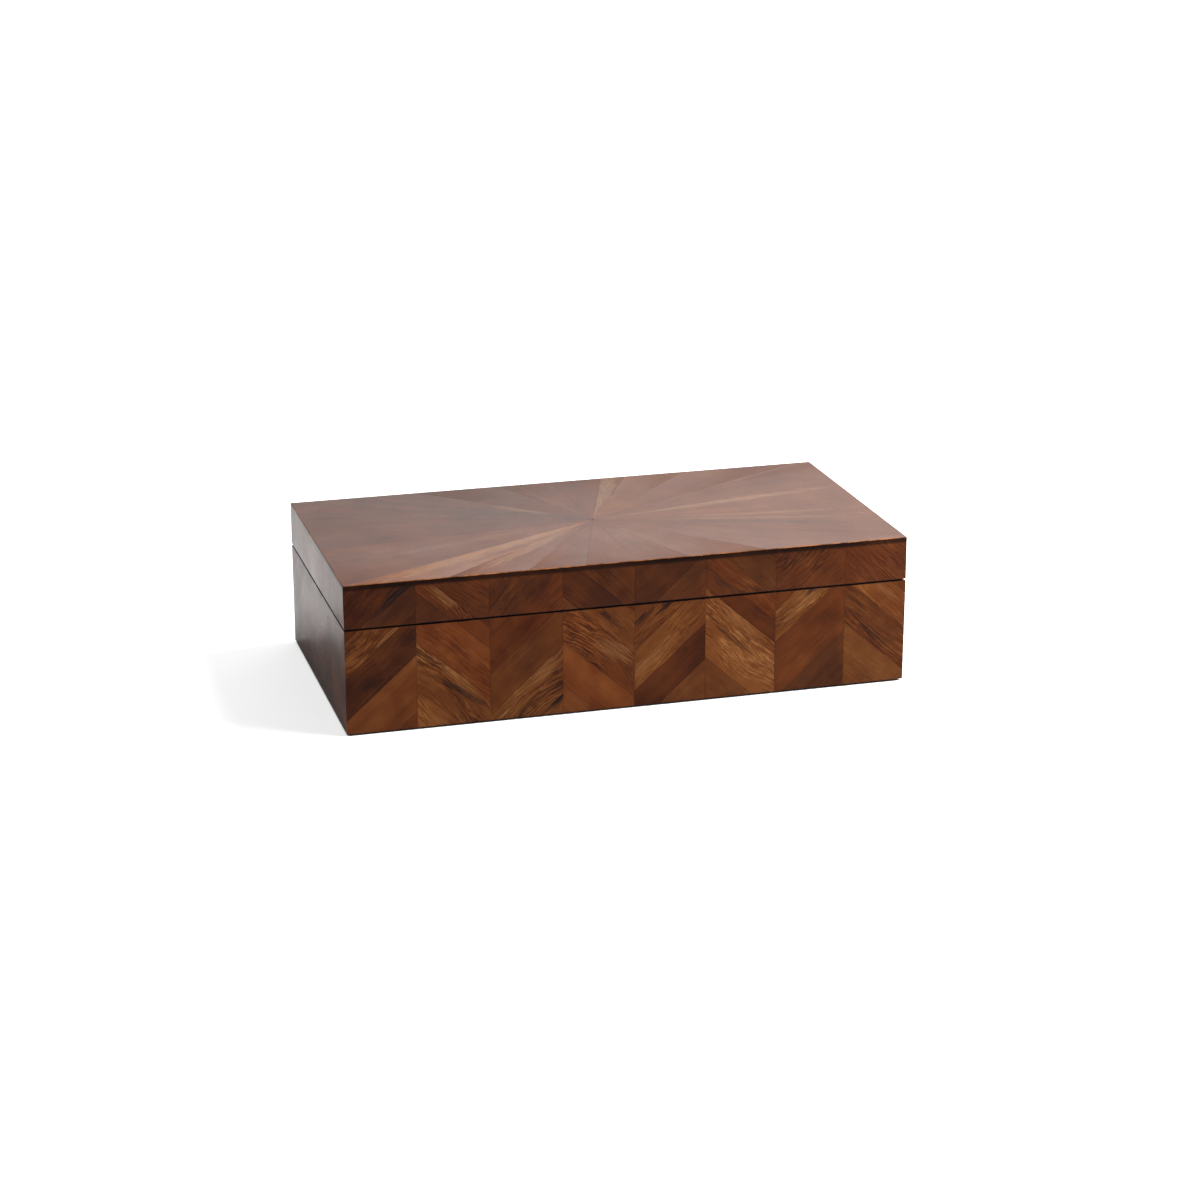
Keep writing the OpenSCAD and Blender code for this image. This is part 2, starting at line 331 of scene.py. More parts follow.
noMark = (0, 0, 1, 1, 0, 0.0)
farAway = 1.0


def addMarks(thing, marks, along, across, turnAxis, placeOf):
    for name, mark in zip(("markA", "markB"), (*marks, noMark, noMark)):
        first, second, length, width, turn, strength = mark
        turned = Matrix.Rotation(math.radians(turn), 3, turnAxis)
        setMark(thing, name, placeOf(first, second), turned @ along / (length * mm),
                turned @ across / (width * mm), strength)


def setGrainMap(thing, origin, along, across):  # the map runs along the fibres, in metres
    while thing.data.uv_layers:
        thing.data.uv_layers.remove(thing.data.uv_layers[0])
    layer = thing.data.uv_layers.new(name="grain")
    for loop in thing.data.loops:
        offset = thing.data.vertices[loop.vertex_index].co - origin
        layer.data[loop.index].uv = (offset.dot(along), offset.dot(across))


# shader groups for wood, lacquer and wear

def newGroup(name, inputs, outputs):
    group = bpy.data.node_groups.new(name, "ShaderNodeTree")
    for socketName, kind, value in inputs:
        socket = group.interface.new_socket(socketName, in_out="INPUT",
                                            socket_type="NodeSocket" + kind)
        if value is not None:
            socket.default_value = value
    for socketName, kind in outputs:
        group.interface.new_socket(socketName, in_out="OUTPUT", socket_type="NodeSocket" + kind)
    return group, group.nodes.new("NodeGroupInput"), group.nodes.new("NodeGroupOutput")


def placeGroup(tree, group, inputs):
    return addNode(tree, "ShaderNodeGroup", inputs, node_tree=group)


def noise(tree, vector, scale, detail=3.0, roughness=0.55):
    node = addNode(tree, "ShaderNodeTexNoise",
                   {"Vector": vector, "Scale": scale, "Detail": detail, "Roughness": roughness})
    return node.outputs["Fac"]


def centered(tree, value):  # noise lies around one half
    return calc(tree, "SUBTRACT", value, 0.5)


grainLook = {
    # each layer: scale along the grain, scale across it, shift of the seed, detail, roughness
    "layers": {"bend": (24.0, 14.0, 3.0, 0.0, 0.5), "ripple": (120.0, 75.0, 7.0, 1.0, 0.5),
               "bands": (7.0, 130.0, 0.0, 2.0, 0.5), "stripes": (34.0, 820.0, 11.0, 3.0, 0.6),
               "fibres": (85.0, 2300.0, 17.0, 2.0, 0.5), "flecks": (95.0, 1500.0, 23.0, 3.0, 0.7),
               "patch": (40.0, 75.0, 29.0, 2.0, 0.5), "curl": (620.0, 190.0, 31.0, 2.0, 0.5),
               "streak": (17.0, 330.0, 47.0, 3.0, 0.5)},
    # plain wood's share, and what full figure adds to it
    "bend": (0.003, 0.021), "ripple": (0.0004, 0.0026), "stripes": (0.12, 0.36),
    "fibres": (0.13, 0.25), "bands": 0.4, "lively": 0.85, "calmPlaces": 0.15, "curl": 0.55,
    # clouds of tone: scale and share
    "largeClouds": (38.0, 0.7), "smallClouds": (110.0, 0.3), "cloudDetail": 2.0,
    "fleckEdges": (0.43, 0.58), "patchEdges": (0.36, 0.6),
    "streakFrom": 0.73, "streakGain": -0.13, "streakEdge": 0.08, "fleckHeight": 0.3}


def buildGrainGroup(look):
    group, source, result = newGroup(
        "veneerGrain",
        [("Grain Map", "Vector", None), ("Place", "Vector", None), ("Seed", "Float", 0.0),
         ("Figure", "Float", 0.3), ("Streaks", "Float", 0.2)],
        [("Shade", "Float"), ("Dark", "Float"), ("Height", "Float")])
    place = source.outputs["Place"]
    seed = source.outputs["Seed"]
    figure = source.outputs["Figure"]
    streaks = source.outputs["Streaks"]
    split = addNode(group, "ShaderNodeSeparateXYZ", {0: source.outputs["Grain Map"]})
    along, across = split.outputs["X"], split.outputs["Y"]

    def layer(name):
        alongScale, acrossScale, shift, detail, roughness = look["layers"][name]
        spot = addNode(group, "ShaderNodeCombineXYZ",
                       {"X": calc(group, "MULTIPLY", along, alongScale),
                        "Y": calc(group, "MULTIPLY", across, acrossScale),
                        "Z": calc(group, "ADD", seed, shift)})
        return noise(group, spot.outputs[0], 1.0, detail, roughness)

    def share(name):  # grows with the figure
        plain, figured = look[name]
        return calc(group, "MULTIPLY_ADD", figure, figured, plain)

    def clouds(name):
        scale, amount = look[name]
        cloud = centered(group, noise(group, place, scale, look["cloudDetail"]))
        return calc(group, "MULTIPLY", cloud, amount)

    # the fibres wander, and fan out where the wood is figured
    bend = calc(group, "MULTIPLY", centered(group, layer("bend")), share("bend"))
    ripple = calc(group, "MULTIPLY", centered(group, layer("ripple")), share("ripple"))
    across = calc(group, "ADD", calc(group, "ADD", across, bend), ripple)

    bands = centered(group, layer("bands"))
    stripes = centered(group, layer("stripes"))
    fibres = centered(group, layer("fibres"))
    flecks = centered(group, remap(group, layer("flecks"), *look["fleckEdges"]))
    patch = remap(group, layer("patch"), *look["patchEdges"])
    curl = calc(group, "MULTIPLY", centered(group, layer("curl")), patch)

    shade = calc(group, "ADD", clouds("largeClouds"), clouds("smallClouds"))
    shade = calc(group, "MULTIPLY_ADD", bands, look["bands"], shade)
    shade = calc(group, "MULTIPLY_ADD", stripes, share("stripes"), shade)
    shade = calc(group, "MULTIPLY_ADD", fibres, share("fibres"), shade)
    calm = look["calmPlaces"]
    lively = calc(group, "MULTIPLY", calc(group, "MULTIPLY", flecks, figure),
                  calc(group, "MULTIPLY_ADD", patch, 1 - calm, calm))
    shade = calc(group, "MULTIPLY_ADD", lively, look["lively"], shade)
    curled = calc(group, "MULTIPLY", curl, figure)
    shade = calc(group, "MULTIPLY_ADD", curled, look["curl"], shade)
    group.links.new(shade, result.inputs["Shade"])

    edge = calc(group, "MULTIPLY_ADD", streaks, look["streakGain"], look["streakFrom"])
    streak = calc(group, "SUBTRACT", layer("streak"), edge)
    dark = calc(group, "DIVIDE", streak, look["streakEdge"], clamp=True)
    group.links.new(calc(group, "MULTIPLY", dark, streaks), result.inputs["Dark"])

    height = calc(group, "MULTIPLY_ADD", flecks, look["fleckHeight"], fibres)
    group.links.new(height, result.inputs["Height"])
    return group


# a streak that was cut across when the veneer was laid
markLook = {"ragged": 2.8, "fibrous": (0.42, 0.56, 1.0, 0.4), "fade": (0.4, 1.0, 1.0, 0.0)}


def buildMarkGroup(look):
    group, source, result = newGroup(
        "veneerMark", [("Mark", "Vector", None), ("Wobble", "Float", 0.5)],
        [("Dark", "Float"), ("Pale", "Float")])
    wobble = source.outputs["Wobble"]
    split = addNode(group, "ShaderNodeSeparateXYZ", {0: source.outputs["Mark"]})
    along, across, strength = split.outputs
    square = calc(group, "MULTIPLY_ADD", across, across, calc(group, "MULTIPLY", along, along))
    reach = calc(group, "MULTIPLY_ADD", centered(group, wobble), look["ragged"],
                 calc(group, "SQRT", square))
    mask = calc(group, "MULTIPLY", remap(group, reach, *look["fade"]),
                remap(group, wobble, *look["fibrous"]))
    for name, sign in (("Dark", 1.0), ("Pale", -1.0)):
        signed = calc(group, "MULTIPLY", strength, sign)
        group.links.new(calc(group, "MULTIPLY", signed, mask, clamp=True), result.inputs[name])
    return group


# the line where two pieces of veneer meet, broken and uneven
lineLook = {"wobbleScale": 190.0, "wobble": (1.6, 0.2), "breakScale": 55.0,
            "broken": (0.42, 0.6, 0.2, 1.0)}


def buildLineGroup(look):
    group, source, result = newGroup(
        "jointLines",
        [("Distance", "Float", 0.01), ("Width", "Float", 0.0006), ("Place", "Vector", None)],
        [("Line", "Float")])
    place = source.outputs["Place"]
    wobble = calc(group, "MULTIPLY_ADD", noise(group, place, look["wobbleScale"], 2.0),
                  *look["wobble"])
    width = calc(group, "MULTIPLY", source.outputs["Width"], wobble)
    line = addNode(group, "ShaderNodeMapRange",
                   {"Value": source.outputs["Distance"], "From Min": 0.0, "From Max": width,
                    "To Min": 1.0, "To Max": 0.0})
    broken = remap(group, noise(group, place, look["breakScale"]), *look["broken"])
    group.links.new(calc(group, "MULTIPLY", line.outputs["Result"], broken),
                    result.inputs["Line"])
    return group


# rubbed arrises, and on the sunburst a painted highlight: where the surface turns away from all
# three axes
arrisLook = {"turned": (0.86, 0.99, 1.0, 0.0), "wearScale": 75.0, "wearDetail": 4.0,
             "wearRoughness": 0.65, "worn": (0.4, 0.62, 0.1, 1.0)}


def buildArrisGroup(look):
    group, source, result = newGroup(
        "arrisRubAndHighlight", [("Place", "Vector", None), ("Facing", "Vector", None)],
        [("Rub", "Float")])
    flat = addNode(group, "ShaderNodeVectorMath", {0: source.outputs["Facing"]},
                   operation="ABSOLUTE")
    x, y, z = addNode(group, "ShaderNodeSeparateXYZ", {0: flat.outputs["Vector"]}).outputs
    most = calc(group, "MAXIMUM", calc(group, "MAXIMUM", x, y), z)
    wear = noise(group, source.outputs["Place"], look["wearScale"], look["wearDetail"],
                 look["wearRoughness"])
    rub = calc(group, "MULTIPLY", remap(group, most, *look["turned"]),
               remap(group, wear, *look["worn"]))
    group.links.new(rub, result.inputs["Rub"])
    return group


grainGroup = buildGrainGroup(grainLook)
markGroup = buildMarkGroup(markLook)
lineGroup = buildLineGroup(lineLook)
arrisGroup = buildArrisGroup(arrisLook)


# veneers: the walls', the sunburst's, and the plain wood under them

veneerWood = {"stops": ((0.0, (0.016, 0.006, 0.005)), (0.25, (0.05, 0.0135, 0.006)),
                        (0.5, (0.112, 0.031, 0.009)), (0.75, (0.19, 0.064, 0.018)),
                        (1.0, (0.34, 0.15, 0.052))),
              "shadeGain": 0.62,
              "redder": (1.04, 0.95, 0.92, 1.0), "duller": (0.95, 1.04, 1.06, 1.0),
              "streak": (0.012, 0.007, 0.007, 1.0), "pale": (0.30, 0.135, 0.05, 1.0),
              "markScale": (70.0, 1500.0, 1.0), "markDetail": 4.0, "markRoughness": 0.65,
              "glue": (0.016, 0.007, 0.005, 1.0), "lineWidth": 0.0004, "lineShare": 0.4,
              # near-black cut edges are end grain plus painted shade in the seams; the band under
              # the top is painted shade over the glue
              "endGrainAndShade": (0.009, 0.0035, 0.0025, 1.0), "cutFacing": (0.3, 0.6, 0.0, 1.0),
              "shadeUnderTop": (0.0006, 0.0021, 0.92, 0.0),
              "unevenScale": 16.0, "uneven": (0.35, 0.6, 0.8, 1.0),
              "rub": (0.24, 0.085, 0.025, 1.0), "rubAndHighlightShare": 0.22,
              "polish": (0.27, 0.33), "smudgeScale": 30.0, "smudges": (0.3, 0.7),
              "dullEdge": 0.35, "ior": 1.5, "facingShine": 0.04,
              "bump": 0.1, "bumpDepth": 0.0001,
              "peelScale": 420.0, "peel": 0.03, "peelDepth": 0.0002}
burstWood = veneerWood | {"shadeGain": 0.42,
                          "redder": (1.02, 0.98, 0.97, 1.0), "duller": (0.98, 1.02, 1.03, 1.0),
                          "pale": (0.25, 0.134, 0.066, 1.0),
                          # on the sunburst the arris colour is rubbed wood plus a painted orange
                          # highlight along the edge
                          "rub": (0.5, 0.18, 0.05, 1.0), "rubAndHighlightShare": 0.75,
                          "cutFacing": (0.25, 0.6, 1.0, 0.0),
                          "polish": (0.24, 0.3), "bump": 0.04}
boardWood = veneerWood | {"shadeGain": 0.7, "polish": (0.42, 0.6)}


def readValue(tree, name):
    return addNode(tree, "ShaderNodeAttribute", attribute_name=name).outputs["Fac"]


def tintBySeed(tree, color, look):  # every piece leans a little to red or to grey
    leaning = addNode(tree, "ShaderNodeTexWhiteNoise", {"W": readValue(tree, "seed")},
                      noise_dimensions="1D")
    tint = mixColor(tree, leaning.outputs["Value"], look["redder"], look["duller"])
    return mixColor(tree, 1.0, color, tint, "MULTIPLY")


def drawMarks(tree, color, grainMap, look):
    fine = addNode(tree, "ShaderNodeVectorMath", {0: grainMap, 1: look["markScale"]},
                   operation="MULTIPLY")
    wobble = noise(tree, fine.outputs["Vector"], 1.0, look["markDetail"], look["markRoughness"])
    for markName in ("markA", "markB"):
        vector = addNode(tree, "ShaderNodeAttribute", attribute_name=markName).outputs["Vector"]
        mark = placeGroup(tree, markGroup, {"Mark": vector, "Wobble": wobble})
        color = mixColor(tree, mark.outputs["Dark"], color, look["streak"])
        color = mixColor(tree, mark.outputs["Pale"], color, look["pale"])
    return color


def drawJoints(tree, color, place, look):
    distance = readValue(tree, "fromLower")
    for side in ("fromUpper", "fromLeft", "fromRight"):
        distance = calc(tree, "MINIMUM", distance, readValue(tree, side))
    lines = placeGroup(tree, lineGroup,
                       {"Distance": distance, "Width": look["lineWidth"], "Place": place})
    share = calc(tree, "MULTIPLY", lines.outputs["Line"], look["lineShare"])
    return mixColor(tree, share, color, look["glue"])


def drawEndGrainAndShade(tree, color, place, facing, look):  # darker end grain, with painted shade on cut edges in the seams and in a band under the top, where the glue is
    upright = addNode(tree, "ShaderNodeSeparateXYZ", {0: facing}).outputs["Z"]
    cut = remap(tree, calc(tree, "ABSOLUTE", upright), *look["cutFacing"])
    shadeUnderTop = remap(tree, readValue(tree, "fromTop"), *look["shadeUnderTop"])
    uneven = remap(tree, noise(tree, place, look["unevenScale"]), *look["uneven"])
    share = calc(tree, "MULTIPLY", calc(tree, "MAXIMUM", cut, shadeUnderTop), uneven)
    return mixColor(tree, share, color, look["endGrainAndShade"])


def buildVeneer(name, look, laid=True):  # only laid veneers have marks, joints and cut edges, these darkened as end grain and with painted shade
    material, tree, shader = startMaterial(name)
    grainMap = addNode(tree, "ShaderNodeUVMap", uv_map="grain").outputs["UV"]
    coordinates = addNode(tree, "ShaderNodeTexCoord")
    place = coordinates.outputs["Object"]
    facing = coordinates.outputs["Normal"]
    grain = placeGroup(tree, grainGroup, {"Grain Map": grainMap, "Place": place,
                                          "Seed": readValue(tree, "seed"),
                                          "Figure": readValue(tree, "figure"),
                                          "Streaks": readValue(tree, "streaks")})
    tone = calc(tree, "MULTIPLY_ADD", grain.outputs["Shade"], look["shadeGain"],
                readValue(tree, "tone"))
    color = tintBySeed(tree, ramp(tree, tone, look["stops"]), look)
    color = mixColor(tree, grain.outputs["Dark"], color, look["streak"])
    if laid:
        color = drawMarks(tree, color, grainMap, look)
        color = drawJoints(tree, color, place, look)
        color = drawEndGrainAndShade(tree, color, place, facing, look)
    rub = placeGroup(tree, arrisGroup, {"Place": place, "Facing": facing}).outputs["Rub"]
    # arrises: rubbed wood, and on the sunburst also a painted highlight
    color = mixColor(tree, calc(tree, "MULTIPLY", rub, look["rubAndHighlightShare"]), color, look["rub"])
    tree.links.new(color, shader.inputs["Base Color"])

    smudge = noise(tree, place, look["smudgeScale"])
    roughness = remap(tree, smudge, *look["smudges"], *look["polish"])
    roughness = calc(tree, "MULTIPLY_ADD", rub, look["dullEdge"], roughness)
    tree.links.new(roughness, shader.inputs["Roughness"])
    shader.inputs["IOR"].default_value = look["ior"]
    shader.inputs["Specular Tint"].default_value = grey(look["facingShine"])
    fibres = addNode(tree, "ShaderNodeBump",
                     {"Height": grain.outputs["Height"], "Strength": look["bump"],
                      "Distance": look["bumpDepth"]})
    lacquer = addNode(tree, "ShaderNodeBump",
                      {"Height": noise(tree, place, look["peelScale"], 2.0),
                       "Strength": look["peel"], "Distance": look["peelDepth"],
                       "Normal": fibres.outputs["Normal"]})
    tree.links.new(lacquer.outputs["Normal"], shader.inputs["Normal"])
    return material


wallVeneer = buildVeneer("wallVeneer", veneerWood)
burstVeneer = buildVeneer("burstVeneer", burstWood)
carcassWood = buildVeneer("carcassWood", boardWood, laid=False)
print("veneers ready")


# walls of slanted strips

stripSlope = math.radians(41.5)
wallSkin = {"thickness": 1.0 * mm, "cornerRadius": 0.55 * mm, "seamRadius": 0.25 * mm,
            "edgeSteps": 3, "gap": 0.06 * mm}

caseLow, caseHigh = (corner.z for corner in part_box("front_inlay_1"))
lidLow, lidHigh = (corner.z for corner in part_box("lid_front_inlay"))
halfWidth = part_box("sunburst_wedge_20")[1].x
halfDepth = abs(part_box("front_inlay_1")[0].y)

# strips from the bottom up: joints are heights at the middle of the column; a look is tone,
# figure, streaks, then up to two marks: x and z on the wall, half length, half width, turn
# from the grain, strength (- pale). An empty look in the lid is the strip of the case
frontColumns = [
    {"joints": (-6, 24, 47, 66),
     "case": ((0.46, 0.2, 0.1), (0.56, 0.1, 0.1),
              (0.24, 0.2, 0.2, (32, 50, 8, 5, 20, 0.6), (13, 27, 7, 4, 30, 0.5)),
              (0.4, 0.7, 0.3, (24, 52, 16, 2.5, 0, -0.4)), (0.25, 0.2, 0.4)),
     "lid": ((), (), (), (0.31, 0.1, 0.2, (26, 71.2, 16, 1.5, 0, 2.0)),
             (0.26, 0.4, 0.7, (26, 73, 15, 1.3, 0, 1.5)))},
    {"joints": (4, 30, 57, 68),
     "case": ((0.7, 0.6, 0.3),
              (0.56, 0.9, 0.6, (60, 18, 16, 2.5, -8, 1.1), (58, 27, 18, 4, 12, -0.4)),
              (0.48, 0.3, 0.4), (0.46, 0.2, 0.4), (0.3, 0.2, 0.4)),
     "lid": ((), (), (0.3, 0.1, 0.1),
             (0.42, 1.0, 0.4, (52, 70, 12, 4.5, 0, -0.45), (58, 76, 4, 1.8, 0, 1.2)),
             (0.37, 0.3, 0.4, (42, 77, 6, 1.6, 0, 1.8)))},
    {"joints": (-9, 21, 43, 64),
     "case": ((0.55, 0.2, 0.1),
              (0.53, 0.8, 0.6, (104, 26, 15, 4, 6, -0.35), (110, 8, 7, 1.6, 5, 1.6)),
              (0.45, 0.2, 0.2, (94, 36, 14, 8, -30, 0.3)), (0.33, 0.2, 0.2), (0.4, 0.2, 0.2)),
     "lid": ((), (), (), (0.39, 0.3, 0.4, (104, 76, 10, 1.6, 0, 0.6)), (0.31, 0.3, 0.4))},
    {"joints": (0, 23, 47, 69),
     "case": ((0.6, 0.2, 0.1), (0.58, 0.1, 0.05),
              (0.44, 0.85, 0.2, (140, 33, 14, 6, -6, -0.45)),
              (0.54, 0.4, 0.4, (138, 50, 12, 1.6, 0, 0.9)), (0.4, 0.2, 0.1)),
     "lid": ((), (), (), (0.29, 0.2, 0.1), (0.38, 0.3, 0.2))},
    {"joints": (6, 26, 48, 64),
     "case": ((0.54, 0.1, 0.1), (0.31, 0.1, 0.1), (0.57, 0.5, 0.3, (160, 26, 20, 4, 0, -0.3)),
              (0.47, 0.6, 0.7, (154, 48, 9, 2.4, 12, 0.95), (168, 54, 10, 1.4, 4, 0.9)),
              (0.52, 0.3, 0.3)),
     "lid": ((), (), (0.4, 0.2, 0.1), (0.4, 0.15, 0.1), (0.29, 0.1, 0.1))},
    {"joints": (7, 31, 45, 57, 70),
     "case": ((0.53, 0.3, 0.3), (0.7, 0.6, 0.3, (206, 31, 20, 1.2, 0, 0.7)),
              (0.66, 0.75, 0.4, (208, 42, 18, 4, 3, -0.4), (196, 42, 8, 1.3, 4, 1.5)),
              (0.36, 0.1, 0.1), (0.44, 0.3, 0.1), (0.4, 0.2, 0.1)),
     "lid": ((), (), (), (0.37, 0.3, 0.4, (200, 66, 9, 5, 0, 0.55)), (0.37, 0.5, 0.2),
             (0.35, 0.3, 0.3))},
    {"joints": (14, 45, 63),
     "case": ((0.38, 0.1, 0.1), (0.46, 0.1, 0.05, (256, 20, 16, 12, -30, 0.3)),
              (0.58, 0.8, 0.3, (243, 48, 16, 3, 2, -0.4), (250, 58, 8, 2, 0, 0.9)),
              (0.38, 0.3, 0.1)),
     "lid": ((), (), (0.42, 0.2, 0.1), (0.33, 0.6, 0.5, (240, 74, 10, 3.5, 8, 0.5)))},
    {"joints": (0, 21, 30, 45, 64),
     "case": ((0.62, 0.2, 0.1), (0.57, 0.2, 0.05), (0.46, 0.5, 0.5, (284, 27, 18, 3, 0, 0.6)),
              (0.44, 0.5, 0.5, (272, 47, 9, 2, 0, 0.6)),
              (0.6, 0.7, 0.3, (288, 52, 12, 2.5, 0, -0.35)), (0.5, 0.4, 0.2)),
     "lid": ((), (), (), (), (0.41, 0.3, 0.1), (0.41, 0.4, 0.4))},
]
frontSeed = 4
endless = 1000  # beyond the lowest and the highest joint of a column

# the other walls: strips of one height, shifted from column to column
evenStrips = {"rise": 21, "shifts": (4, 13, 9, 17), "top": 81, "tones": (0.34, 0.55),
              "figures": (0.1, 0.2, 0.5, 0.7), "streaks": (0.1, 0.2, 0.4, 0.6),
              "columns": {"back": 8, "left": 4, "right": 4},
              "seeds": {"back": 11, "left": 12, "right": 13}}
seedRange = 60

# each wall: how far it is turned from the front, its half length, its distance from the middle
walls = {"front": (0, halfWidth, halfDepth), "back": (180, halfWidth, halfDepth),
         "left": (-90, halfDepth - wallSkin["thickness"], halfWidth),
         "right": (90, halfDepth - wallSkin["thickness"], halfWidth)}


def frontEdges():
    inner = [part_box(f"front_inlay_{i}")[0].x for i in range(2, len(frontColumns) + 1)]
    return [-halfWidth, *inner, halfWidth]


def evenEdges(count, halfLength):
    return [(-1 + 2 * i / count) * halfLength for i in range(count + 1)]


def evenColumn(index, rng):
    shift = evenStrips["shifts"][index % len(evenStrips["shifts"])]
    joints = list(range(shift, evenStrips["top"], evenStrips["rise"]))
    looks = [(rng.uniform(*evenStrips["tones"]), rng.choice(evenStrips["figures"]),
              rng.choice(evenStrips["streaks"])) for _ in range(len(joints) + 1)]
    return {"joints": joints, "case": looks, "lid": [()] * len(looks)}


def makeSkin(name, wall, low, high):  # a wall's veneer as one plate, with its outer edges eased
    _, halfLength, distance = walls[wall]
    skin = addBlock(name, (-halfLength, -distance, low),
                    (halfLength, -distance + wallSkin["thickness"], high))
    outer = -distance + nearly

    def onCorner(middle, direction):
        return middle.y < outer and abs(middle.x) > halfLength - nearly

    def onSeam(middle, direction):
        atBottom = abs(middle.z - low) < nearly
        atFreeTop = abs(middle.z - high) < nearly and high < lidHigh - nearly
        return middle.y < outer and (atBottom or atFreeTop)

    bevelEdges(skin, onSeam, wallSkin["seamRadius"], wallSkin["edgeSteps"])
    if wall in ("front", "back"):
        bevelEdges(skin, onCorner, wallSkin["cornerRadius"], wallSkin["edgeSteps"])
    return skin


def cutTile(skin, wall, left, right):  # one column of the plate
    halfLength = walls[wall][1]
    gap = wallSkin["gap"] / 2
    tile = copyOf(skin, f"{wall}Tile")
    if left > -halfLength + nearly:
        cutAway(tile, (left + gap, 0, 0), (-1, 0, 0))
    if right < halfLength - nearly:
        cutAway(tile, (right - gap, 0, 0), (1, 0, 0))
    return tile


def onWall(x, z):  # a mark's place, counted from the wall's left end and from the floor
    return Vector((x * mm - halfWidth, 0, z * mm))


def cutStrips(skin, wall, part, column, index, edges, rng):
    left, right = edges[index], edges[index + 1]
    middle = (left + right) / 2
    slope = stripSlope if index % 2 == 0 else -stripSlope
    along = Vector((math.cos(slope), 0, math.sin(slope)))
    upward = Vector((-math.sin(slope), 0, math.cos(slope)))
    gap = upward * wallSkin["gap"] / 2
    tile = cutTile(skin, wall, left, right)
    heights = [-endless, *column["joints"], endless]
    strips = []
    for k, look in enumerate(column[part]):
        seed = rng.random() * seedRange
        tone, figure, streaks, *marks = look or column["case"][k]
        lower = Vector((middle, 0, heights[k] * mm))
        upper = Vector((middle, 0, heights[k + 1] * mm))
        strip = copyOf(tile, f"{wall}Strip")
        if not (cutAway(strip, lower + gap, -upward) and cutAway(strip, upper - gap, upward)):
            removeThing(strip)
            continue
        setGrainMap(strip, Vector((middle, 0, 0)), along, upward)
        setWood(strip, (tone, figure, streaks), seed)
        setDistances(strip, {"fromLower": lambda p: (p - lower).dot(upward),
                             "fromUpper": lambda p: (upper - p).dot(upward),
                             "fromLeft": lambda p: p.x - left,
                             "fromRight": lambda p: right - p.x,
                             "fromTop": lambda p: lidHigh - p.z if part == "lid" else farAway})
        addMarks(strip, marks, along, upward, "Y", onWall)
        strips.append(strip)
    removeThing(tile)
    return strips


def buildFront():
    rng = random.Random(frontSeed)
    edges = frontEdges()
    caseSkin = makeSkin("caseSkin", "front", caseLow, caseHigh)
    lidSkin = makeSkin("lidSkin", "front", lidLow, lidHigh)
    lidStrips = []
    for index, column in enumerate(frontColumns):
        strips = cutStrips(caseSkin, "front", "case", column, index, edges, rng)
        piece = joinThings(strips, f"frontColumn{index + 1}")
        finishPiece(piece, wallVeneer, "case", "wall_veneer", f"front_inlay_{index + 1}")
        lidStrips += cutStrips(lidSkin, "front", "lid", column, index, edges, rng)
    piece = joinThings(lidStrips, "lidFrontStrips")
    finishPiece(piece, wallVeneer, "lid", "wall_veneer", "lid_front_inlay")
    removeThing(caseSkin)
    removeThing(lidSkin)


def buildEvenWall(wall):
    degrees, halfLength, _ = walls[wall]
    count = evenStrips["columns"][wall]
    edges = evenEdges(count, halfLength)
    rng = random.Random(evenStrips["seeds"][wall])
    columns = [evenColumn(i + 1, rng) for i in range(count)]
    for part, low, high in (("case", caseLow, caseHigh), ("lid", lidLow, lidHigh)):
        skin = makeSkin(f"{wall}Skin", wall, low, high)
        strips = []
        for index, column in enumerate(columns):
            strips += cutStrips(skin, wall, part, column, index, edges, rng)
        piece = joinThings(strips, f"{part}{wall.capitalize()}Strips")
        piece.data.transform(Matrix.Rotation(math.radians(degrees), 4, "Z"))
        node = f"{wall}_inlay" if part == "case" else f"lid_{wall}_inlay"
        finishPiece(piece, wallVeneer, part, "wall_veneer", node)
        removeThing(skin)


buildFront()
for wallName in evenStrips["columns"]:
    buildEvenWall(wallName)
print("walls ready")


# the sunburst on the lid: joints are the directions of the glue lines, from the right
# anticlockwise; a look is tone, figure, streaks

burst = {"joints": (12, 28, 45, 62, 71, 92, 114, 137, 154, 163, 185, 207, 218, 234, 252, 272, 292,
                    314, 335, 348),
         "looks": ((0.48, 0.1, 0.1), (0.51, 0.1, 0.1), (0.55, 0.2, 0.1), (0.53, 0.3, 0.1),
                   (0.44, 0.3, 0.2), (0.43, 0.3, 0.2), (0.37, 0.2, 0.3), (0.34, 0.1, 0.2),
                   (0.38, 0.2, 0.4), (0.38, 0.1, 0.1), (0.44, 0.2, 0.1), (0.6, 0.5, 0.1),
                   (0.46, 0.3, 0.2), (0.44, 0.2, 0.1), (0.47, 0.2, 0.1), (0.46, 0.2, 0.1),
                   (0.49, 0.2, 0.1), (0.46, 0.1, 0.1), (0.47, 0.2, 0.1), (0.5, 0.2, 0.1)),
         # by wedge: angle, distance from the middle, half length, half width, turn, strength
         "marks": {4: ((67, 48, 50, 5, 0, -0.45),),
                   6: ((108, 40, 30, 5, 5, -0.12), (116, 44, 20, 3, 2, 0.3)),
                   8: ((139, 42, 20, 5, -6, -0.36), (148, 62, 45, 4, 2, 0.4)),
                   9: ((156, 70, 60, 4, -3, 0.45),),
                   11: ((195, 80, 50, 4, 0, -0.2),),
                   12: ((209, 75, 85, 7, -3, -0.55), (215, 70, 50, 2, 2, 0.3)),
                   13: ((221, 60, 45, 5, -5, -0.5), (226, 60, 40, 2, 0, 0.25)),
                   19: ((342, 90, 50, 3, 1, 0.4), (347, 85, 60, 2.5, 6, -0.35)),
                   20: ((10, 75, 75, 4, 9, -0.5), (352, 90, 50, 2.5, -7, -0.3))},
         "edgeRadius": 0.5 * mm, "edgeSteps": 3, "gap": 0.06 * mm, "seed": 7}


def around(angle, reach=1.0):  # a place on the lid by direction (radians) and distance
    return Vector((math.cos(angle), math.sin(angle), 0)) * reach


def sideways(direction):  # turned a quarter to the left
    return Vector((-direction.y, direction.x, 0))


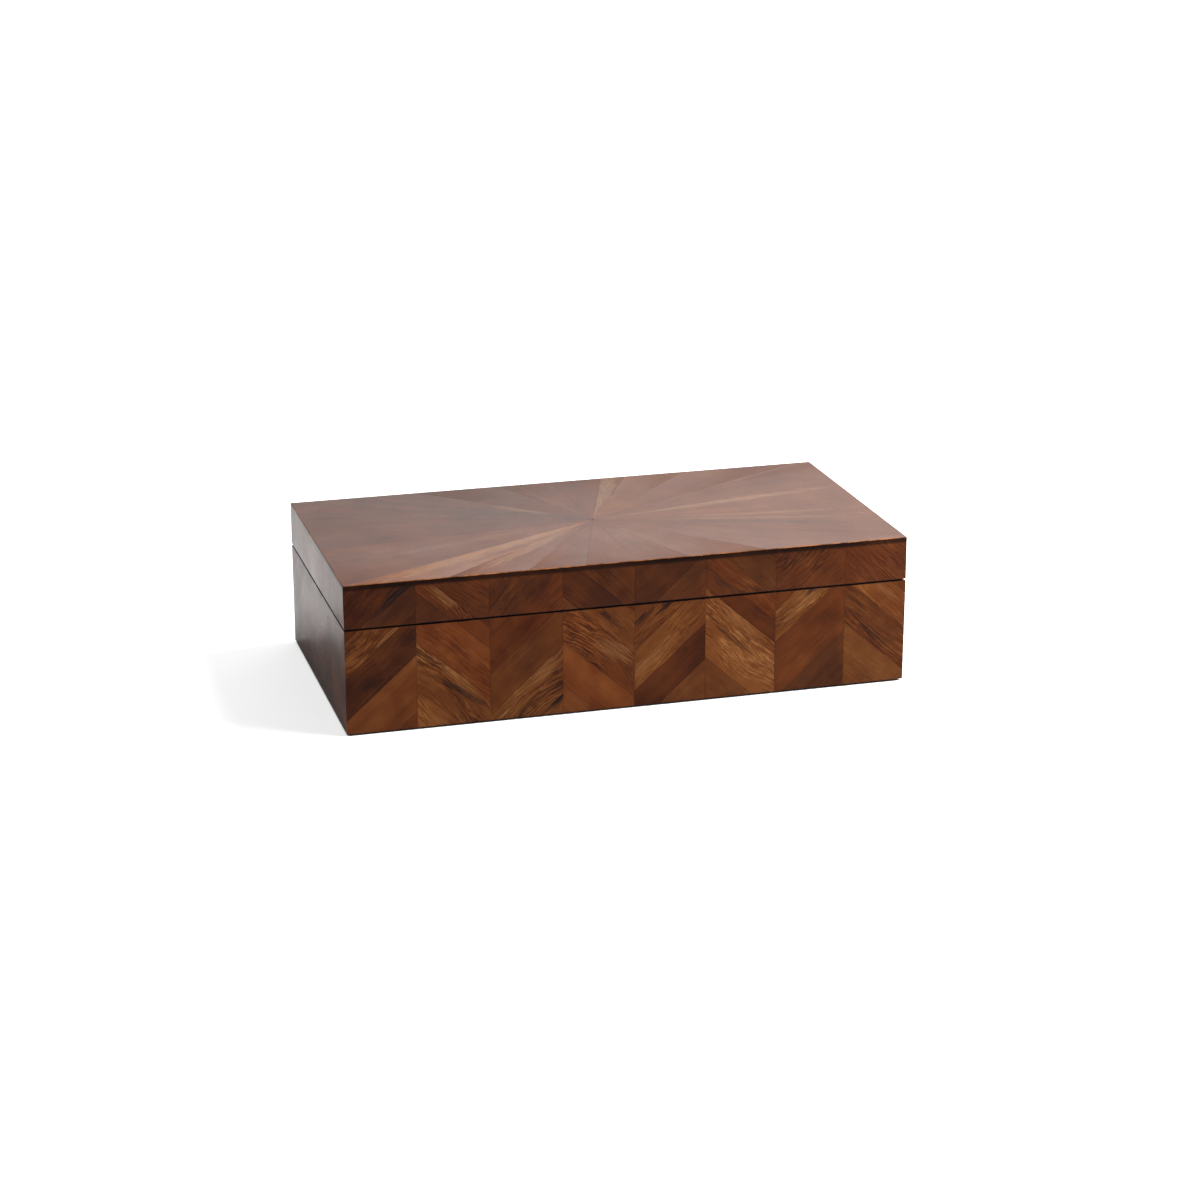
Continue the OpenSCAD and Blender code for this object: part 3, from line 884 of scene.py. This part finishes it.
def cutWedge(plate, index, rng):
    joints = burst["joints"]
    start = math.radians(joints[index])
    end = math.radians(joints[(index + 1) % len(joints)])
    if end < start:
        end += 2 * math.pi
    startNormal = sideways(around(start))
    endNormal = -sideways(around(end))
    along = around((start + end) / 2)
    wedge = copyOf(plate, f"burstWedge{index + 1}")
    cutAway(wedge, startNormal * burst["gap"] / 2, -startNormal)
    cutAway(wedge, endNormal * burst["gap"] / 2, -endNormal)
    setGrainMap(wedge, Vector((0, 0, 0)), along, sideways(along))
    setWood(wedge, burst["looks"][index], rng.random() * seedRange)
    setDistances(wedge, {"fromLower": lambda p: p.dot(startNormal),
                         "fromUpper": lambda p: p.dot(endNormal),
                         "fromLeft": lambda p: farAway,
                         "fromRight": lambda p: farAway,
                         "fromTop": lambda p: farAway})
    addMarks(wedge, burst["marks"].get(index + 1, ()), along, sideways(along), "Z",
             lambda degrees, reach: around(math.radians(degrees), reach * mm))
    return wedge


def buildSunburst():
    bottom, top = (corner.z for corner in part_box("sunburst_wedge_1"))
    plate = addBlock("topSheet", (-halfWidth, -halfDepth, bottom), (halfWidth, halfDepth, top))

    def onArris(middle, direction):  # the edges of the top and the four upright corners
        return middle.z > top - nearly or abs(direction.z) > 0.9

    bevelEdges(plate, onArris, burst["edgeRadius"], burst["edgeSteps"])
    rng = random.Random(burst["seed"])
    for index in range(len(burst["looks"])):
        wedge = cutWedge(plate, index, rng)
        finishPiece(wedge, burstVeneer, "lid", "sunburst_veneer", f"sunburst_wedge_{index + 1}")
    removeThing(plate)


buildSunburst()
print("sunburst ready")


# black felt, under the case and inside it

feltLook = {"deep": (0.004, 0.004, 0.0045), "fibre": (0.029, 0.028, 0.03),
            "shades": (0.38, 0.72), "edge": 0.22 * mm,
            "bendScale": 900.0, "bend": 0.0022, "fibreScale": 2600.0, "fibreRoughness": 0.7,
            "clumpScale": 240.0, "wearScale": 24.0,
            "fibreShare": 0.65, "clumpShare": 0.25, "wearShare": 0.2, "clumpHeight": 0.8,
            "roughness": 0.95, "shine": 0.15, "sheen": 0.25, "sheenRoughness": 0.5,
            "sheenTint": (0.6, 0.6, 0.65, 1.0), "bump": 0.6, "bumpDepth": 0.0004}


def buildNapGroup(look):  # short fibres pressed in all directions
    group, source, result = newGroup(
        "feltNap", [("Place", "Vector", None)], [("Shade", "Float"), ("Height", "Float")])
    place = source.outputs["Place"]
    bent = addNode(group, "ShaderNodeTexNoise",
                   {"Vector": place, "Scale": look["bendScale"], "Detail": 2.0})
    shifted = addNode(group, "ShaderNodeVectorMath",
                      {0: bent.outputs["Color"], 1: (look["bend"],) * 3, 2: place},
                      operation="MULTIPLY_ADD")
    fibres = noise(group, shifted.outputs["Vector"], look["fibreScale"],
                   roughness=look["fibreRoughness"])
    clumps = noise(group, place, look["clumpScale"])
    worn = noise(group, place, look["wearScale"])
    shade = calc(group, "MULTIPLY_ADD", fibres, look["fibreShare"],
                 calc(group, "MULTIPLY", clumps, look["clumpShare"]))
    shade = calc(group, "MULTIPLY_ADD", worn, look["wearShare"], shade)
    group.links.new(shade, result.inputs["Shade"])
    height = calc(group, "MULTIPLY_ADD", clumps, look["clumpHeight"], fibres)
    group.links.new(height, result.inputs["Height"])
    return group


def buildFelt(look):
    material, tree, shader = startMaterial("blackFelt")
    place = addNode(tree, "ShaderNodeTexCoord").outputs["Object"]
    nap = placeGroup(tree, buildNapGroup(look), {"Place": place})
    stops = zip(look["shades"], (look["deep"], look["fibre"]))
    color = ramp(tree, nap.outputs["Shade"], list(stops))
    tree.links.new(color, shader.inputs["Base Color"])
    shader.inputs["Roughness"].default_value = look["roughness"]
    shader.inputs["Specular IOR Level"].default_value = look["shine"]
    shader.inputs["Sheen Weight"].default_value = look["sheen"]
    shader.inputs["Sheen Roughness"].default_value = look["sheenRoughness"]
    shader.inputs["Sheen Tint"].default_value = look["sheenTint"]
    bump = addNode(tree, "ShaderNodeBump",
                   {"Height": nap.outputs["Height"], "Strength": look["bump"],
                    "Distance": look["bumpDepth"]})
    tree.links.new(bump.outputs["Normal"], shader.inputs["Normal"])
    return material


blackFelt = buildFelt(feltLook)

# by node: the sheet's name, its body, its flat size, how it is held and on what
feltSheets = {"base_felt": ("baseFelt", "case", (0.296, 0.146), "laid", "floor_board"),
              "floor_lining": ("floorFelt", "case", (0.282, 0.132), "laid", "floor_board"),
              "lid_lining": ("lidFelt", "lid", (0.282, 0.132), "stretched", "lid_panel")}


def layFelt(node, name, body):
    piece = softenedCopy(node, name, feltLook["edge"])
    finishPiece(piece, blackFelt, body, "black_felt", node)
    return piece


def layFeltSheets():
    for node, (name, body, size, held, board) in feltSheets.items():
        piece = layFelt(node, name, body)
    layFelt("rim_lining", "rimFelt", "case")


def splitLoose(thing):
    makeActive(thing)
    bpy.ops.mesh.separate(type="LOOSE")
    return list(bpy.context.selected_objects)


def buildWallFelt():  # the node holds four sheets, one on each wall
    for part in splitLoose(softenedCopy("wall_lining", "wallFelt", feltLook["edge"])):
        corners = [Vector(corner) for corner in part.bound_box]
        middle = sum(corners, Vector()) / len(corners)
        size = corners[6] - corners[0]
        if size.x > size.y:
            side = "front" if middle.y < 0 else "back"
        else:
            side = "left" if middle.x < 0 else "right"
        part.name = f"{side}Felt"
        finishPiece(part, blackFelt, "case", "black_felt", "wall_lining")


layFeltSheets()
buildWallFelt()
print("felt ready")


# the boards under the veneer: body and tone

boards = {"floor_board": ("case", 0.42), "front_board": ("case", 0.4),
          "back_board": ("case", 0.44), "left_board": ("case", 0.38),
          "right_board": ("case", 0.43), "lid_front_rail": ("lid", 0.42),
          "lid_back_rail": ("lid", 0.38), "lid_left_rail": ("lid", 0.45),
          "lid_right_rail": ("lid", 0.4), "lid_panel": ("lid", 0.42)}
boardLook = {"edge": 0.3 * mm, "figure": 0.1, "streaks": 0.5, "seed": 21}


def buildBoards():
    rng = random.Random(boardLook["seed"])
    for node, (body, tone) in boards.items():
        first, *others = node.split("_")
        name = first + "".join(word.capitalize() for word in others)
        piece = softenedCopy(node, name, boardLook["edge"])
        low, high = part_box(node)
        size = high - low
        along = Vector((1, 0, 0)) if size.x > size.y else Vector((0, 1, 0))
        setGrainMap(piece, (low + high) / 2, along, Vector((1, 1, 1)) - along)
        setWood(piece, (tone, boardLook["figure"], boardLook["streaks"]),
                rng.random() * seedRange)
        finishPiece(piece, carcassWood, body, "carcass_wood", node)


# hinges, pins and screws

brassLook = {"clean": (0.58, 0.39, 0.145, 1.0), "tarnished": (0.25, 0.14, 0.05, 1.0),
             "rubbed": (0.78, 0.58, 0.28, 1.0), "rubAndHighlightShare": 0.4,
             "brushScale": (60.0, 2400.0, 2400.0), "brushRoughness": 0.6,
             "smudgeScale": 170.0, "smudges": (0.42, 0.7, 0.0, 0.6),
             "spotScale": 520.0, "spots": (0.6, 0.72), "spotShare": 0.5,
             "polish": 0.1, "brushDulling": 0.16, "smudgeDulling": 0.22,
             "bump": 0.08, "bumpDepth": 0.00005}


def buildBrassGroup(look):  # brushed once, then handled
    group, source, result = newGroup(
        "handledBrass", [("Place", "Vector", None)],
        [("Tarnish", "Float"), ("Roughness", "Float"), ("Height", "Float")])
    place = source.outputs["Place"]
    lengthwise = addNode(group, "ShaderNodeVectorMath", {0: place, 1: look["brushScale"]},
                         operation="MULTIPLY")
    brushed = noise(group, lengthwise.outputs["Vector"], 1.0, roughness=look["brushRoughness"])
    smudges = noise(group, place, look["smudgeScale"], 4.0, 0.6)
    spots = remap(group, noise(group, place, look["spotScale"], 2.0), *look["spots"])
    tarnish = calc(group, "MULTIPLY_ADD", spots, look["spotShare"],
                   remap(group, smudges, *look["smudges"]), clamp=True)
    group.links.new(tarnish, result.inputs["Tarnish"])
    rough = calc(group, "MULTIPLY_ADD", smudges, look["smudgeDulling"], look["polish"])
    rough = calc(group, "MULTIPLY_ADD", brushed, look["brushDulling"], rough)
    group.links.new(rough, result.inputs["Roughness"])
    group.links.new(brushed, result.inputs["Height"])
    return group


def buildBrass(look):
    material, tree, shader = startMaterial("hingeBrass")
    coordinates = addNode(tree, "ShaderNodeTexCoord")
    place = coordinates.outputs["Object"]
    brushed = placeGroup(tree, buildBrassGroup(look), {"Place": place})
    color = mixColor(tree, brushed.outputs["Tarnish"], look["clean"], look["tarnished"])
    arris = placeGroup(tree, arrisGroup,
                       {"Place": place, "Facing": coordinates.outputs["Normal"]})
    share = calc(tree, "MULTIPLY", arris.outputs["Rub"], look["rubAndHighlightShare"])
    tree.links.new(mixColor(tree, share, color, look["rubbed"]), shader.inputs["Base Color"])
    tree.links.new(brushed.outputs["Roughness"], shader.inputs["Roughness"])
    shader.inputs["Metallic"].default_value = 1.0
    bump = addNode(tree, "ShaderNodeBump",
                   {"Height": brushed.outputs["Height"], "Strength": look["bump"],
                    "Distance": look["bumpDepth"]})
    tree.links.new(bump.outputs["Normal"], shader.inputs["Normal"])
    return material


leafEdge = 0.15 * mm
screwEdge = 0.06 * mm
hingeParts = {"left_hinge_case_leaf": ("case", "leftCaseLeaf", leafEdge),
              "right_hinge_case_leaf": ("case", "rightCaseLeaf", leafEdge),
              "left_hinge_pin": ("case", "leftHingePin", leafEdge),
              "right_hinge_pin": ("case", "rightHingePin", leafEdge),
              "left_hinge_lid_leaf": ("lid", "leftLidLeaf", leafEdge),
              "right_hinge_lid_leaf": ("lid", "rightLidLeaf", leafEdge),
              "case_hinge_screws": ("case", "caseScrews", screwEdge),
              "lid_hinge_screws": ("lid", "lidScrews", screwEdge)}


def buildHinges():
    brass = buildBrass(brassLook)
    for node, (body, name, edge) in hingeParts.items():
        piece = softenedCopy(node, name, edge)
        finishPiece(piece, brass, body, "hinge_brass", node)


buildBoards()
buildHinges()
print("boards and hinges ready")
